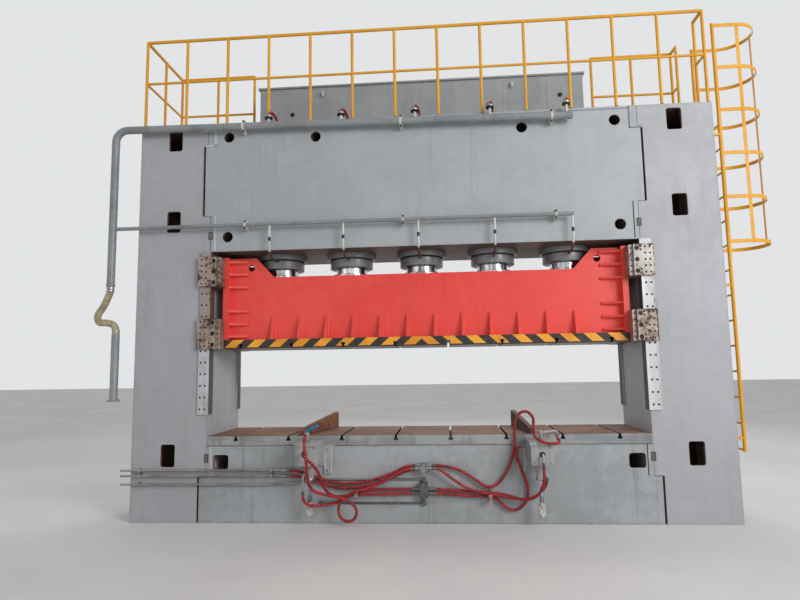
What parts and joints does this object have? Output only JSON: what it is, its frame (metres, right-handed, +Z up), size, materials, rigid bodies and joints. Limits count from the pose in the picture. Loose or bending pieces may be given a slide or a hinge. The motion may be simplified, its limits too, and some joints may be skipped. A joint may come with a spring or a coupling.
{
  "type": "hydraulic press",
  "caption": "Wide straight-side hydraulic press: keyed box frame, guided slide under a row of rams, T-slotted table and platen, roof tank with railings, caged side ladder.",
  "frame": {"origin": "middle of the bed's bottom face, on the floor", "axes": "+X to the operator's right along the press, +Y from the front to the rear, +Z up"},
  "size_m": [8.4569, 1.7413, 6.2032],
  "materials": {
    "frame_paint": "grey-blue enamel, grimed, with chipped edges",
    "slide_paint": "red gloss enamel",
    "hazard_paint": "yellow and black slanting stripes on the edge",
    "railing_paint": "yellow-orange gloss enamel",
    "table_steel": "rust-brown primer, worn and dusty",
    "rail_steel": "ground and oiled steel",
    "shoe_steel": "machined steel with thin rust",
    "cylinder_steel": "mid-grey paint, oily",
    "rod_chrome": "hard-chromed and ground",
    "pipe_steel": "grey pipe, dull",
    "clear_hose": "cloudy beige suction hose",
    "hose_rubber": "dark red spiral-wrapped hose",
    "rusty_steel": "rusty mild steel",
    "block_steel": "zinc-plated steel block",
    "station_paint": "grey enamel with chipped edges"
  },
  "bodies": {
    "frame": {"bed": "frame_paint", "left_upright": "frame_paint", "right_upright": "frame_paint", "crown": "frame_paint", "bolster_plate": "table_steel", "oil_tank": "frame_paint", "tank_lid": "frame_paint", "front_railing": "railing_paint", "left_railing": "railing_paint", "rear_right_railing": "railing_paint", "ladder": "railing_paint", "ladder_cage": "railing_paint", "return_header": "pipe_steel", "drain_header": "pipe_steel", "suction_pipe": "pipe_steel", "suction_hose": "clear_hose", "bed_pipes": "pipe_steel", "lower_bed_pipe": "pipe_steel", "upper_hose_block": "block_steel", "lower_hose_block": "block_steel", "left_station": "station_paint", "right_station": "station_paint", "left_bar": "rusty_steel", "right_bar": "rusty_steel", "cylinder_1": "cylinder_steel", "cylinder_2": "cylinder_steel", "cylinder_3": "cylinder_steel", "cylinder_4": "cylinder_steel", "cylinder_5": "cylinder_steel", "front_left_rail": "rail_steel", "front_right_rail": "rail_steel", "rear_left_rail": "rail_steel", "rear_right_rail": "rail_steel", "supply_hose_upper": "hose_rubber", "supply_hose_lower": "hose_rubber", "left_ram_hose": "hose_rubber", "left_box_hose": "hose_rubber", "left_post_hose": "hose_rubber", "right_post_hose": "hose_rubber", "right_box_hose": "hose_rubber", "right_ram_hose": "hose_rubber", "right_side_hose": "hose_rubber"},
    "slide": {"slide": "slide_paint", "slide_platen": "hazard_paint", "front_left_lower_shoe": "shoe_steel", "front_left_upper_shoe": "shoe_steel", "front_right_lower_shoe": "shoe_steel", "front_right_upper_shoe": "shoe_steel", "rear_left_lower_shoe": "shoe_steel", "rear_left_upper_shoe": "shoe_steel", "rear_right_lower_shoe": "shoe_steel", "rear_right_upper_shoe": "shoe_steel", "piston_rod_1": "rod_chrome", "piston_rod_2": "rod_chrome", "piston_rod_3": "rod_chrome", "piston_rod_4": "rod_chrome", "piston_rod_5": "rod_chrome"},
    "left_ram": {"left_ram": "rod_chrome"},
    "right_ram": {"right_ram": "rod_chrome"}
  },
  "joints": [
    {"name": "slide_travel", "type": "slide", "parent": "frame", "child": "slide", "axis": [0, 0, -1], "range_m": [0, 0.75]},
    {"name": "left_ram_travel", "type": "slide", "parent": "frame", "child": "left_ram", "axis": [0, 0, 1], "range_m": [0, 0.15]},
    {"name": "right_ram_travel", "type": "slide", "parent": "frame", "child": "right_ram", "axis": [0, 0, 1], "range_m": [0, 0.15]}
  ]
}
